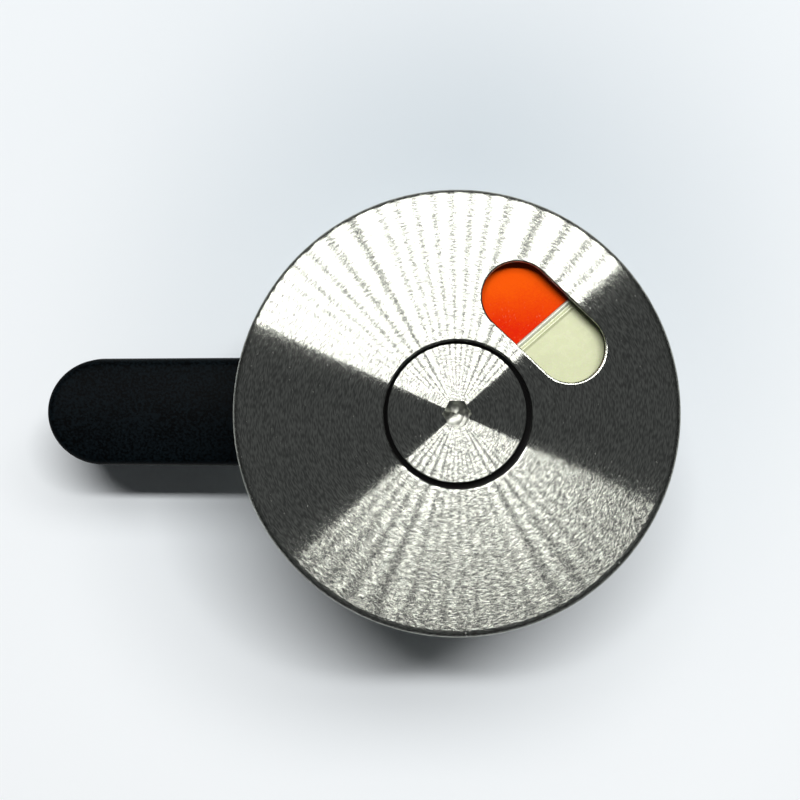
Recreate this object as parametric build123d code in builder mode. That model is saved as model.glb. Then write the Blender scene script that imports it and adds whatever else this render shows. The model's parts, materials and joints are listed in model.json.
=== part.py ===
from build123d import *
import math
import os

os.makedirs("parts", exist_ok=True)

# Indicator thumbturn for a cubicle door: a round indicator set outside, a swinging latch arm inside.
# Lengths are millimetres and angles are degrees. Z is the spindle's axis and points out of the door.
# Z = 0 is the outer face of the door panel, and the panel lies below it. The latch arm points to -X.

# Door panel and fixings
panel_thickness = 12.0
post_centres = 38.0
post_azimuth = 136.4
post_radius = 3.5
post_length = 9.6
post_neck_radius = 2.5
post_head_radius = 3.3
post_head_height = 0.5
post_bore_depth = 4.8
spot_face_radius = 5.2
spot_face_depth = 0.6
m4_radius = 2.0
m3_radius = 1.5
thread_gap = 0.05
press_gap = 0.02
running_gap = 0.05
small_chamfer = 0.4

# Roses
rose_radius = 27.0
rose_wall = 1.2
rose_edge_round = 0.45
outer_rose_height = 8.0
outer_rose_face = 1.5
inner_rose_height = 5.5
inner_rose_face = 1.2
inner_rose_hole_radius = 15.0
hole_chamfer = 0.18
snap_height = 2.6
snap_count = 3
snap_azimuth = 16.4
snap_ball_radius = 1.0
snap_reach = 0.35
snap_dent_radius = 1.15

# Window and indicator
window_length = 17.3
window_width = 8.4
window_land = 2.05
window_azimuth = 46.4
indicator_gap = 1.1
indicator_thickness = 1.6
indicator_depth = 2.7
colour_line_azimuth = 48.2
colour_sweep = 90.0
colour_flange_gap = 0.5
colour_edge_gap = 0.6
rib_width = 1.0
rib_height = 0.55
rib_round = 0.3
dial_edge = 0.2
plate_thickness = 0.6
plate_recess = 0.4
plate_gap = 0.1

# Release disc and its stem
disc_radius = 8.4
disc_gap = 0.55
disc_edge = 0.25
flange_radius = 10.3
flange_thickness = 0.8
stem_radius = 5.0
stem_end_gap = 0.1
key_across_flats = 3.0
key_depth = 2.4
key_countersink = 0.35
key_countersink_depth = 0.5
key_drill_radius = 1.45
key_drill_point = 118.0
lug_radius = 1.0
lug_length = 1.2
lug_distance = 7.8
lug_gap = 0.08

# Spindle
spindle_width = 5.0
spindle_gap = 0.05
spindle_top = 3.3
pin_radius = 0.75
pin_depth = 1.0
pin_end_gap = 0.2
pin_chamfer = 0.2
spindle_end_gap = 0.5

# Outer base
base_gap = 0.15
base_floor = 2.4
base_rim_top = 4.4
base_rim_wall = 2.05
groove_half_height = 0.9
groove_depth = 0.45
spigot_radius = 9.5
spigot_length = 4.0
ring_pocket_radius = 8.2
ring_pocket_depth = 1.5
bush_wall = 1.45
bush_flange_radius = 8.0
bush_flange = 0.7
ring_thickness = 0.8
ring_groove_radius = 4.4
ring_groove_play = 0.05
ring_band = 1.75
ring_shift = 0.45
ring_mouth = 42.0
ring_ear_radius = 1.35
ring_ear_distance = 6.1
ring_ear_turn = 31.0
spring_thickness = 0.25
spring_outer_radius = 7.6
spring_end_gap = 0.03

# Inner base
inner_floor = 3.0
inner_rim_height = 0.9
boss_radius = 14.6
boss_proud = 0.1
journal_radius = 6.0
journal_end_gap = 0.9
inner_bush_flange_radius = 9.0
inner_bush_flange = 0.6
screw_head_radius = 3.8
screw_hole_radius = 2.25
screw_grip = 4.3
screw_slot_length = 4.5
screw_slot_width = 0.9
screw_slot_depth = 1.1
stop_distance = 11.0
stop_pin_radius = 1.5
stop_slot_gap = 0.3
stop_slot_depth = 2.2
stop_end_gap = 0.4
turn_each_way = 45.0

# Latch arm
arm_drop = 0.5
arm_reach = 55.1
arm_thickness = 9.0
arm_tip_radius = 7.37
arm_root_half_width = 7.5
arm_root_reach = 27.0
arm_draft = 2.0
arm_edge_round = 1.0
arm_crown_radius = 26.0
arm_start = 16.4
core_thickness = 3.0
core_disc_radius = 14.0
core_width = 9.0
core_end_wall = 5.0
core_fillet = 4.0
core_hole_radius = 1.75
core_hole_count = 3
core_hole_pitch = 8.5

# Hub, knob and their screws
hub_flange_radius = 16.0
hub_gap = 0.05
carrier_screw_distance = 11.0
carrier_plate = 5.5
carrier_wall = 2.85
carrier_rib = 2.0
carrier_rib_count = 6
carrier_rib_start = 9.0
carrier_rib_drop = 1.0
carrier_boss_radius = 4.0
carrier_boss_reach = 17.0
carrier_screw_stop = 1.0
arm_slot_gap = 0.3
knob_radius = 25.0
knob_wall = 1.5
knob_end = 1.8
knob_end_z = -41.0
knob_gap = 0.4
knob_round = 1.2
knob_fit = 0.15
knob_slot_corner = 1.2
grub_height = 7.0
grub_length = 6.0
grub_sink = 0.4
grub_key = 2.0
grub_key_depth = 2.0
pan_head_radius = 3.5
pan_head_height = 2.4
pan_key = 2.5
pan_key_depth = 1.3
hub_screw_depth = 9.0
hub_screw_grip = 8.0
cap_head_radius = 2.75
cap_head_height = 2.2
washer_radius = 4.5
washer_thickness = 0.8

# Heights along the spindle, worked out from the sizes above
rose_inside = outer_rose_height - outer_rose_face
indicator_top = outer_rose_height - indicator_depth
indicator_bottom = indicator_top - indicator_thickness
flange_top = indicator_top + flange_thickness
bush_top = base_floor + bush_flange
ring_seat = ring_pocket_depth - spigot_length
ring_bottom = ring_seat - ring_thickness
stem_end = -spigot_length + stem_end_gap
panel_inside = -panel_thickness
inner_rose_z = panel_inside - inner_rose_height
inner_rose_inside = inner_rose_z + inner_rose_face
inner_floor_z = panel_inside - inner_floor
boss_z = inner_rose_z + boss_proud
inner_bush_z = boss_z - inner_bush_flange
hub_top = inner_bush_z - hub_gap
arm_top = inner_rose_z - arm_drop
arm_middle = arm_top - arm_thickness / 2
arm_bottom = arm_top - arm_thickness
core_top = arm_middle + core_thickness / 2
core_bottom = core_top - core_thickness
carrier_floor = core_bottom - carrier_plate
knob_inside = knob_end_z + knob_end
knob_rim = inner_rose_z - knob_gap
grub_z = knob_inside + grub_height
spindle_end = carrier_floor + spindle_end_gap
arm_slot_floor = arm_bottom - arm_slot_gap

# Radii worked out from the sizes above
rose_inner_radius = rose_radius - rose_wall
base_radius = rose_inner_radius - base_gap
hole_radius = disc_radius + disc_gap
window_distance = hole_radius + window_land + window_width / 2
colour_inner_radius = flange_radius + colour_flange_gap
bush_bore_radius = stem_radius + running_gap
bush_radius = bush_bore_radius + bush_wall
inner_bush_bore_radius = journal_radius + running_gap
inner_bush_radius = inner_bush_bore_radius + bush_wall
indicator_radius = base_radius - base_rim_wall - indicator_gap
colour_outer_radius = indicator_radius - colour_edge_gap
knob_inner_radius = knob_radius - knob_wall
carrier_radius = knob_inner_radius - knob_fit
arm_slot_half = arm_root_half_width + arm_slot_gap
post_distance = post_centres / 2
spindle_hole = spindle_width + 2 * spindle_gap
rib_middle = (colour_inner_radius + colour_outer_radius) / 2
rib_azimuths = (colour_line_azimuth, colour_line_azimuth + colour_sweep)

upright = (Align.CENTER, Align.CENTER, Align.MIN)
hanging = (Align.CENTER, Align.CENTER, Align.MAX)


def turned(points):
    """Turn a closed outline of (radius, height) points about the spindle's axis."""
    with BuildSketch(Plane.XZ) as outline:
        with BuildLine():
            Polyline(*points, close=True)
        make_face()
    return revolve(outline.sketch, axis=Axis.Z)


def ring_sector(inner, outer, start, sweep):
    """A flat piece of a ring between two radii, from one azimuth through a sweep."""
    with BuildSketch() as sector:
        with BuildLine():
            outside = CenterArc((0, 0), outer, start, sweep)
            inside = CenterArc((0, 0), inner, start, sweep)
            Line(outside @ 0, inside @ 0)
            Line(outside @ 1, inside @ 1)
        make_face()
    return sector.sketch


def dimples(height):
    """Pressed dents round a rose's skirt that snap into the groove of the base inside it."""
    ball_distance = rose_inner_radius + snap_ball_radius - snap_reach
    with Locations((0, 0, height)):
        with PolarLocations(ball_distance, snap_count, start_angle=snap_azimuth):
            Sphere(snap_ball_radius)
        with PolarLocations(ball_distance + rose_wall, snap_count, start_angle=snap_azimuth):
            Sphere(snap_dent_radius, mode=Mode.SUBTRACT)


def arm_outline(plane):
    """Plan of the latch arm at its widest, with sides that run tangent into its round end."""
    tip_x = arm_tip_radius - arm_reach
    start_x = -arm_start / 2
    lean = math.asin((arm_root_half_width - arm_tip_radius) / (-arm_root_reach - tip_x))
    start_half = (arm_tip_radius + (start_x - tip_x) * math.sin(lean)) / math.cos(lean)
    lean_degrees = math.degrees(lean)
    with BuildSketch(plane) as outline:
        with BuildLine():
            tip = CenterArc((tip_x, 0), arm_tip_radius, 90 + lean_degrees, 180 - 2 * lean_degrees)
            Polyline(tip @ 0, (start_x, start_half), (start_x, -start_half), tip @ 1)
        make_face()
    return outline.sketch


# Outer side, fixed to the door

with BuildPart() as outer_rose:
    turned([
        (0, outer_rose_height),
        (rose_radius, outer_rose_height),
        (rose_radius, 0),
        (rose_inner_radius, 0),
        (rose_inner_radius, rose_inside),
        (0, rose_inside),
    ])
    fillet(outer_rose.faces().sort_by(Axis.Z)[-1].edges(), rose_edge_round)
    dimples(snap_height)
    with BuildSketch(Plane.XY.offset(rose_inside)):
        Circle(hole_radius)
        with PolarLocations(window_distance, 1, start_angle=window_azimuth):
            SlotOverall(window_length, window_width, rotation=90)
    extrude(amount=outer_rose_face, mode=Mode.SUBTRACT)
    chamfer(outer_rose.faces().sort_by(Axis.Z)[-1].inner_wires().edges(), hole_chamfer)
outer_rose.part.label = "outer_rose"

with BuildPart() as outer_base:
    turned([
        (bush_radius + press_gap, ring_seat),
        (bush_radius + press_gap, base_floor),
        (base_radius - base_rim_wall, base_floor),
        (base_radius - base_rim_wall, base_rim_top),
        (base_radius, base_rim_top),
        (base_radius, snap_height + groove_half_height),
        (base_radius - groove_depth, snap_height + groove_half_height / 2),
        (base_radius - groove_depth, snap_height - groove_half_height / 2),
        (base_radius, snap_height - groove_half_height),
        (base_radius, 0),
        (spigot_radius, 0),
        (spigot_radius, -spigot_length),
        (ring_pocket_radius, -spigot_length),
        (ring_pocket_radius, ring_seat),
    ])
    with PolarLocations(post_distance, 2, start_angle=post_azimuth):
        Cylinder(spot_face_radius, spot_face_depth, align=upright, mode=Mode.SUBTRACT)
        Cylinder(post_neck_radius + press_gap, base_floor, align=upright, mode=Mode.SUBTRACT)
outer_base.part.label = "outer_base"

with BuildPart() as fixing_posts:
    with PolarLocations(post_distance, 2, start_angle=post_azimuth):
        with Locations((0, 0, -post_length)):
            Cylinder(post_radius, post_length + spot_face_depth, align=upright)
        Cylinder(post_neck_radius, base_floor, align=upright)
        with Locations((0, 0, base_floor)):
            Cone(post_head_radius, post_neck_radius, post_head_height, align=upright)
    chamfer(fixing_posts.edges().group_by(Axis.Z)[0], small_chamfer)
    with PolarLocations(post_distance, 2, start_angle=post_azimuth):
        with Locations((0, 0, -post_length)):
            Cylinder(m4_radius + thread_gap, post_bore_depth, align=upright, mode=Mode.SUBTRACT)
fixing_posts.part.label = "fixing_posts"

with BuildPart() as outer_bush:
    turned([
        (bush_bore_radius, ring_seat),
        (bush_bore_radius, bush_top),
        (bush_flange_radius, bush_top),
        (bush_flange_radius, base_floor),
        (bush_radius, base_floor),
        (bush_radius, ring_seat),
    ])
outer_bush.part.label = "outer_bush"

# Outer side, turning with the spindle

with BuildPart() as release_disc:
    turned([
        (0, outer_rose_height),
        (disc_radius - disc_edge, outer_rose_height),
        (disc_radius, outer_rose_height - disc_edge),
        (disc_radius, flange_top),
        (flange_radius, flange_top),
        (flange_radius, indicator_top),
        (stem_radius, indicator_top),
        (stem_radius, ring_seat),
        (ring_groove_radius, ring_seat),
        (ring_groove_radius, ring_bottom - ring_groove_play),
        (stem_radius, ring_bottom - ring_groove_play),
        (stem_radius, stem_end),
        (0, stem_end),
    ])
    with BuildSketch(Plane.XY.offset(outer_rose_height)):
        RegularPolygon(key_across_flats / 2, 6, major_radius=False)
    extrude(amount=-key_depth, mode=Mode.SUBTRACT)
    with BuildSketch(Plane.XY.offset(outer_rose_height)):
        Circle(key_across_flats / 2 + key_countersink)
    extrude(amount=-key_countersink_depth, taper=45, mode=Mode.SUBTRACT)
    with Locations((0, 0, outer_rose_height - key_depth)):
        drill_tip = key_drill_radius / math.tan(math.radians(key_drill_point / 2))
        Cone(0, key_drill_radius, drill_tip, align=hanging, mode=Mode.SUBTRACT)
    with BuildSketch(Plane.XY.offset(stem_end)):
        Rectangle(spindle_hole, spindle_hole)
    extrude(amount=spindle_top + spindle_gap - stem_end, mode=Mode.SUBTRACT)
    with Locations((0, 0, -pin_depth)):
        Cylinder(pin_radius + press_gap, 2 * stem_radius, rotation=(0, 90, 0), mode=Mode.SUBTRACT)
    with Locations((0, 0, indicator_top)):
        with PolarLocations(lug_distance, 2):
            Cylinder(lug_radius, lug_length, align=hanging)
release_disc.part.label = "release_disc"

with BuildPart() as square_spindle:
    with Locations((0, 0, spindle_end)):
        Box(spindle_width, spindle_width, spindle_top - spindle_end, align=upright)
    chamfer(square_spindle.faces().filter_by(Axis.Z).edges(), small_chamfer)
    with Locations((0, 0, -pin_depth)):
        Cylinder(pin_radius + press_gap, spindle_width, rotation=(0, 90, 0), mode=Mode.SUBTRACT)
    with Locations((0, 0, spindle_end)):
        Cylinder(m3_radius + thread_gap, hub_screw_depth, align=upright, mode=Mode.SUBTRACT)
square_spindle.part.label = "square_spindle"

with BuildPart() as spindle_pin:
    with Locations((0, 0, -pin_depth)):
        Cylinder(pin_radius, 2 * (stem_radius - pin_end_gap), rotation=(0, 90, 0))
    chamfer(spindle_pin.edges().filter_by(GeomType.CIRCLE), pin_chamfer)
spindle_pin.part.label = "spindle_pin"

with BuildPart() as indicator_dial:
    with BuildSketch(Plane.XY.offset(indicator_bottom)):
        Circle(indicator_radius)
        Circle(stem_radius + running_gap, mode=Mode.SUBTRACT)
        with PolarLocations(lug_distance, 2):
            Circle(lug_radius + lug_gap, mode=Mode.SUBTRACT)
    extrude(amount=indicator_thickness)
    chamfer(indicator_dial.edges().group_by(SortBy.LENGTH)[-1], dial_edge)
    with BuildSketch(Plane.XY.offset(indicator_top)):
        add(ring_sector(colour_inner_radius, colour_outer_radius, colour_line_azimuth, colour_sweep))
    extrude(amount=-plate_recess, mode=Mode.SUBTRACT)
    with BuildSketch(Plane.XY.offset(indicator_top - plate_recess)):
        for azimuth in rib_azimuths:
            with PolarLocations(rib_middle, 1, start_angle=azimuth):
                Rectangle(colour_outer_radius - colour_inner_radius, rib_width)
    extrude(amount=plate_recess + rib_height)
    fillet(indicator_dial.edges().group_by(Axis.Z)[-1], rib_round)
indicator_dial.part.label = "indicator_dial"

with BuildPart() as red_plate:
    with BuildSketch(Plane.XY.offset(indicator_top - plate_recess)):
        add(ring_sector(
            colour_inner_radius + plate_gap,
            colour_outer_radius - plate_gap,
            colour_line_azimuth,
            colour_sweep,
        ))
        for azimuth in rib_azimuths:
            with PolarLocations(rib_middle, 1, start_angle=azimuth):
                Rectangle(colour_outer_radius, rib_width + 2 * plate_gap, mode=Mode.SUBTRACT)
    extrude(amount=plate_thickness)
    chamfer(red_plate.faces().sort_by(Axis.Z)[-1].edges(), plate_gap)
red_plate.part.label = "red_plate"

with BuildPart() as spring_washer:
    turned([
        (stem_radius + 2 * running_gap, indicator_bottom - spring_thickness),
        (stem_radius + 2 * running_gap, indicator_bottom),
        (spring_outer_radius, bush_top + spring_end_gap + spring_thickness),
        (spring_outer_radius, bush_top + spring_end_gap),
    ])
spring_washer.part.label = "spring_washer"

with BuildPart() as retaining_ring:
    ears = PolarLocations(ring_ear_distance, 2, start_angle=270 - ring_ear_turn,
                          angular_range=2 * ring_ear_turn, endpoint=True)
    mouth_width = 2 * ring_groove_radius * math.sin(math.radians(ring_mouth / 2))
    with BuildSketch(Plane.XY.offset(ring_bottom)):
        with Locations((0, ring_shift)):
            Circle(ring_groove_radius + ring_band)
        with ears:
            Circle(ring_ear_radius)
        Circle(ring_groove_radius + press_gap, mode=Mode.SUBTRACT)
        with Locations((0, -2 * ring_groove_radius)):
            Rectangle(mouth_width, 2 * ring_groove_radius, mode=Mode.SUBTRACT)
        with ears:
            Circle(ring_ear_radius / 2, mode=Mode.SUBTRACT)
    extrude(amount=ring_thickness)
retaining_ring.part.label = "retaining_ring"

# Inner side, fixed to the door

with BuildPart() as inner_base:
    snap_z = panel_inside - snap_height
    rim_z = inner_floor_z - inner_rim_height
    turned([
        (inner_bush_radius + press_gap, panel_inside),
        (base_radius, panel_inside),
        (base_radius, snap_z + groove_half_height),
        (base_radius - groove_depth, snap_z + groove_half_height / 2),
        (base_radius - groove_depth, snap_z - groove_half_height / 2),
        (base_radius, snap_z - groove_half_height),
        (base_radius, rim_z),
        (base_radius - base_rim_wall, rim_z),
        (base_radius - base_rim_wall, inner_floor_z),
        (boss_radius, inner_floor_z),
        (boss_radius, boss_z),
        (inner_bush_radius + press_gap, boss_z),
    ])
    with BuildSketch(Plane.XY.offset(boss_z)):
        half_arc = turn_each_way + math.degrees(stop_slot_gap / stop_distance)
        SlotArc(CenterArc((0, 0), stop_distance, -half_arc, 2 * half_arc),
                2 * (stop_pin_radius + stop_slot_gap), mode=Mode.ADD)
    extrude(amount=stop_slot_depth, mode=Mode.SUBTRACT)
    with PolarLocations(post_distance, 2, start_angle=post_azimuth):
        with Locations((0, 0, inner_floor_z)):
            Cylinder(screw_hole_radius, inner_floor, align=upright, mode=Mode.SUBTRACT)
            sink = screw_head_radius + thread_gap - m4_radius
            Cone(screw_head_radius + thread_gap, m4_radius, sink, align=upright, mode=Mode.SUBTRACT)
inner_base.part.label = "inner_base"

with BuildPart() as inner_rose:
    turned([
        (inner_rose_hole_radius, inner_rose_z),
        (rose_radius, inner_rose_z),
        (rose_radius, panel_inside),
        (rose_inner_radius, panel_inside),
        (rose_inner_radius, inner_rose_inside),
        (inner_rose_hole_radius, inner_rose_inside),
    ])
    rose_face = inner_rose.faces().sort_by(Axis.Z)[0]
    fillet(rose_face.outer_wire().edges(), rose_edge_round)
    rose_face = inner_rose.faces().sort_by(Axis.Z)[0]
    chamfer(rose_face.inner_wires().edges(), hole_chamfer)
    dimples(panel_inside - snap_height)
inner_rose.part.label = "inner_rose"

with BuildPart() as inner_bush:
    turned([
        (inner_bush_bore_radius, inner_bush_z),
        (inner_bush_bore_radius, panel_inside - thread_gap),
        (inner_bush_radius, panel_inside - thread_gap),
        (inner_bush_radius, boss_z),
        (inner_bush_flange_radius, boss_z),
        (inner_bush_flange_radius, inner_bush_z),
    ])
inner_bush.part.label = "inner_bush"

with BuildPart() as fixing_screws:
    with PolarLocations(post_distance, 2, start_angle=post_azimuth):
        with Locations((0, 0, inner_floor_z)):
            Cylinder(m4_radius, inner_floor + panel_thickness - post_length + screw_grip, align=upright)
            Cone(screw_head_radius, m4_radius, screw_head_radius - m4_radius, align=upright)
            for turn in (0, 90):
                Box(screw_slot_length, screw_slot_width, screw_slot_depth,
                    rotation=(0, 0, turn), align=upright, mode=Mode.SUBTRACT)
fixing_screws.part.label = "fixing_screws"

# Inner side, turning with the spindle

with BuildPart() as lever_hub:
    turned([
        (0, panel_inside - journal_end_gap),
        (journal_radius, panel_inside - journal_end_gap),
        (journal_radius, hub_top),
        (hub_flange_radius, hub_top),
        (hub_flange_radius, core_top),
        (0, core_top),
    ])
    with BuildSketch(Plane.XY.offset(core_top)):
        Rectangle(spindle_hole, spindle_hole)
        with Locations((stop_distance, 0)):
            Circle(stop_pin_radius + press_gap)
        with PolarLocations(carrier_screw_distance, 2, start_angle=90):
            Circle(m4_radius + thread_gap)
    extrude(amount=panel_inside - core_top, mode=Mode.SUBTRACT)
lever_hub.part.label = "lever_hub"

with BuildPart() as stop_pin:
    with Locations((stop_distance, 0, core_top)):
        Cylinder(stop_pin_radius, boss_z + stop_slot_depth - stop_end_gap - core_top, align=upright)
    chamfer(stop_pin.edges().filter_by(GeomType.CIRCLE), pin_chamfer)
stop_pin.part.label = "stop_pin"

with BuildPart() as lever_core:
    core_end = arm_reach - core_end_wall - core_width / 2
    with BuildSketch(Plane.XY.offset(core_bottom)) as core_plan:
        Circle(core_disc_radius)
        with Locations((-core_end / 2, 0)):
            Rectangle(core_end, core_width)
        with Locations((-core_end, 0)):
            Circle(core_width / 2)
        corners = core_plan.vertices().filter_by_position(Axis.X, -core_disc_radius, -core_width / 2)
        fillet(corners, core_fillet)
        Rectangle(spindle_hole, spindle_hole, mode=Mode.SUBTRACT)
        with PolarLocations(carrier_screw_distance, 2, start_angle=90):
            Circle(m4_radius + thread_gap, mode=Mode.SUBTRACT)
        for step in range(core_hole_count):
            with Locations((-core_end + step * core_hole_pitch, 0)):
                Circle(core_hole_radius, mode=Mode.SUBTRACT)
    extrude(amount=core_thickness)
lever_core.part.label = "lever_core"

with BuildPart() as lever_sleeve:
    up = Plane(origin=(0, 0, arm_middle), x_dir=(1, 0, 0), z_dir=(0, 0, 1))
    down = Plane(origin=(0, 0, arm_middle), x_dir=(1, 0, 0), z_dir=(0, 0, -1))
    for side in (up, down):
        extrude(arm_outline(side), amount=arm_thickness / 2, taper=arm_draft)
    with BuildSketch(Plane.YZ) as crown:
        with Locations((0, arm_top - arm_crown_radius)):
            Circle(arm_crown_radius)
        with Locations((0, arm_bottom + arm_crown_radius)):
            Circle(arm_crown_radius, mode=Mode.INTERSECT)
    extrude(crown.sketch, amount=-arm_reach, mode=Mode.INTERSECT)
    by_height = lever_sleeve.faces().sort_by(Axis.Z)
    fillet(by_height[0].edges() + by_height[-1].edges(), arm_edge_round)
    with Locations((0, 0, arm_middle)):
        Cylinder(arm_start, arm_thickness, mode=Mode.SUBTRACT)
    add(lever_core.part, mode=Mode.SUBTRACT)
lever_sleeve.part.label = "lever_sleeve"

with BuildPart() as cap_carrier:
    with Locations((0, 0, core_bottom)):
        Cylinder(carrier_radius, core_bottom - knob_inside, align=hanging)
    with Locations((0, 0, carrier_floor)):
        Cylinder(carrier_radius - carrier_wall, carrier_floor - knob_inside, align=hanging,
                 mode=Mode.SUBTRACT)
    with BuildSketch(Plane.XY.offset(knob_inside + carrier_rib_drop)):
        rib_length = carrier_radius - carrier_wall / 2 - carrier_rib_start
        with PolarLocations(carrier_rib_start + rib_length / 2, carrier_rib_count):
            Rectangle(rib_length, carrier_rib)
    extrude(amount=carrier_floor - knob_inside - carrier_rib_drop)
    for side in (90, -90):
        with BuildSketch(Plane.XZ.offset(carrier_boss_reach if side < 0 else -carrier_boss_reach)):
            with Locations((0, grub_z)):
                Circle(carrier_boss_radius)
        boss_length = carrier_radius - carrier_wall / 2 - carrier_boss_reach
        extrude(amount=boss_length if side < 0 else -boss_length)
    with Locations((0, 0, grub_z)):
        Cylinder(m4_radius + thread_gap, 2 * carrier_radius, rotation=(90, 0, 0), mode=Mode.SUBTRACT)
    with Locations((-core_disc_radius, 0, core_bottom)):
        Box(carrier_radius, 2 * arm_slot_half, core_bottom - arm_slot_floor,
            align=(Align.MAX, Align.CENTER, Align.MAX), mode=Mode.SUBTRACT)
    with BuildSketch(Plane.XY.offset(carrier_floor)):
        Rectangle(spindle_hole, spindle_hole)
        with PolarLocations(carrier_screw_distance, 2, start_angle=90):
            Circle(m4_radius + thread_gap)
    extrude(amount=carrier_plate, mode=Mode.SUBTRACT)
cap_carrier.part.label = "cap_carrier"

with BuildPart() as carrier_screws:
    with PolarLocations(carrier_screw_distance, 2, start_angle=90):
        with Locations((0, 0, carrier_floor)):
            Cylinder(m4_radius, hub_top - carrier_screw_stop - carrier_floor, align=upright)
            Cylinder(pan_head_radius, pan_head_height, align=hanging)
    chamfer(carrier_screws.edges().group_by(Axis.Z)[0], small_chamfer)
    with BuildSketch(Plane.XY.offset(carrier_floor - pan_head_height)):
        with PolarLocations(carrier_screw_distance, 2, start_angle=90):
            RegularPolygon(pan_key / 2, 6, major_radius=False)
    extrude(amount=pan_key_depth, mode=Mode.SUBTRACT)
carrier_screws.part.label = "carrier_screws"

with BuildPart() as hub_washer:
    with Locations((0, 0, carrier_floor)):
        Cylinder(washer_radius, washer_thickness, align=hanging)
        Cylinder(m3_radius + thread_gap, washer_thickness, align=hanging, mode=Mode.SUBTRACT)
hub_washer.part.label = "hub_washer"

with BuildPart() as hub_screw:
    with Locations((0, 0, carrier_floor - washer_thickness)):
        Cylinder(m3_radius, washer_thickness + hub_screw_grip, align=upright)
        Cylinder(cap_head_radius, cap_head_height, align=hanging)
    chamfer(hub_screw.edges().group_by(Axis.Z)[0], small_chamfer)
    with BuildSketch(Plane.XY.offset(carrier_floor - washer_thickness - cap_head_height)):
        RegularPolygon(pan_key / 2, 6, major_radius=False)
    extrude(amount=pan_key_depth, mode=Mode.SUBTRACT)
hub_screw.part.label = "hub_screw"

with BuildPart() as turn_knob:
    turned([
        (0, knob_end_z),
        (knob_radius, knob_end_z),
        (knob_radius, knob_rim),
        (knob_inner_radius, knob_rim),
        (knob_inner_radius, knob_inside),
        (0, knob_inside),
    ])
    fillet(turn_knob.faces().sort_by(Axis.Z)[0].edges(), knob_round)
    with BuildSketch(Plane.YZ.offset(-arm_start)) as knob_slot:
        with Locations((0, knob_rim)):
            Rectangle(2 * arm_slot_half, 2 * (knob_rim - arm_slot_floor))
        fillet(knob_slot.vertices().group_by(Axis.Z)[0], knob_slot_corner)
    extrude(amount=-knob_radius, mode=Mode.SUBTRACT)
    with Locations((0, 0, grub_z)):
        Cylinder(m4_radius + 2 * thread_gap, 2 * knob_radius, rotation=(90, 0, 0), mode=Mode.SUBTRACT)
turn_knob.part.label = "turn_knob"

with BuildPart() as grub_screws:
    for side in (1, -1):
        outer_end = side * (knob_radius - grub_sink)
        with BuildSketch(Plane.XZ.offset(-outer_end)):
            with Locations((0, grub_z)):
                Circle(m4_radius)
        extrude(amount=side * grub_length)
        with BuildSketch(Plane.XZ.offset(-outer_end)):
            with Locations((0, grub_z)):
                RegularPolygon(grub_key / 2, 6, major_radius=False)
        extrude(amount=side * grub_key_depth, mode=Mode.SUBTRACT)
grub_screws.part.label = "grub_screws"

for piece in (
    outer_rose,
    outer_base,
    fixing_posts,
    outer_bush,
    release_disc,
    square_spindle,
    spindle_pin,
    indicator_dial,
    red_plate,
    spring_washer,
    retaining_ring,
    inner_base,
    inner_rose,
    inner_bush,
    fixing_screws,
    lever_hub,
    stop_pin,
    lever_core,
    lever_sleeve,
    cap_carrier,
    carrier_screws,
    hub_washer,
    hub_screw,
    turn_knob,
    grub_screws,
):
    export_step(piece.part, f"parts/{piece.part.label}.step")
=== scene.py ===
import json
import math

import bmesh
import bpy
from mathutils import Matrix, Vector

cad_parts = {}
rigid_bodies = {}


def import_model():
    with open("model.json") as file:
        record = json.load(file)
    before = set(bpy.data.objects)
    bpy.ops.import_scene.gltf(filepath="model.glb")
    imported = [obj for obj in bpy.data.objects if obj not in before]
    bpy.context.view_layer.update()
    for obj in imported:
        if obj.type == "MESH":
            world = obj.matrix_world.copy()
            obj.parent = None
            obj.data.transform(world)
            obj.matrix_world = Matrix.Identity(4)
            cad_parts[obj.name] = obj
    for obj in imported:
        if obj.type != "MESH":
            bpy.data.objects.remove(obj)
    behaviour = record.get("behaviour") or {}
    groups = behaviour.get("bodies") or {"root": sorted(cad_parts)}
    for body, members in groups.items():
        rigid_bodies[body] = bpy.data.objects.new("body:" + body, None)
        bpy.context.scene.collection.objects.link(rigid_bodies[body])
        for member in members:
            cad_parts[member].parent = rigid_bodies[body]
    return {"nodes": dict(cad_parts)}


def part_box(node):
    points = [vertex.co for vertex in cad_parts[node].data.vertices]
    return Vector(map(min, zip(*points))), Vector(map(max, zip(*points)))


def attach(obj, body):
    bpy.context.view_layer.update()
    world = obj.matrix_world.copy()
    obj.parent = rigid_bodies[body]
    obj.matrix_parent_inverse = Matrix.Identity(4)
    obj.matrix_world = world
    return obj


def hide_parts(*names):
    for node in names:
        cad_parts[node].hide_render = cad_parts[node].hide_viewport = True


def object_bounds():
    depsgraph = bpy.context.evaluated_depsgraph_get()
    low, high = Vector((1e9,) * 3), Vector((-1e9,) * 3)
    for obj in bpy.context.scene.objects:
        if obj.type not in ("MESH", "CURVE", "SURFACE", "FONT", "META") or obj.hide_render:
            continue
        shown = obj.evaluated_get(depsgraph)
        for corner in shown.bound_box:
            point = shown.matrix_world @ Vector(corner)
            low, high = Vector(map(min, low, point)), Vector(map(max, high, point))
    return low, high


# An indicator thumbturn for a cubicle door, seen from straight above as it stands on its turn knob.
# Shapes are built in millimetres on the spindle's axis and scaled to metres when a corner is made.

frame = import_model()
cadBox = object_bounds()
cad = frame["nodes"]
mm = 0.001
print("frame loaded:", len(cad), "nodes")


# Node maths

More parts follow.
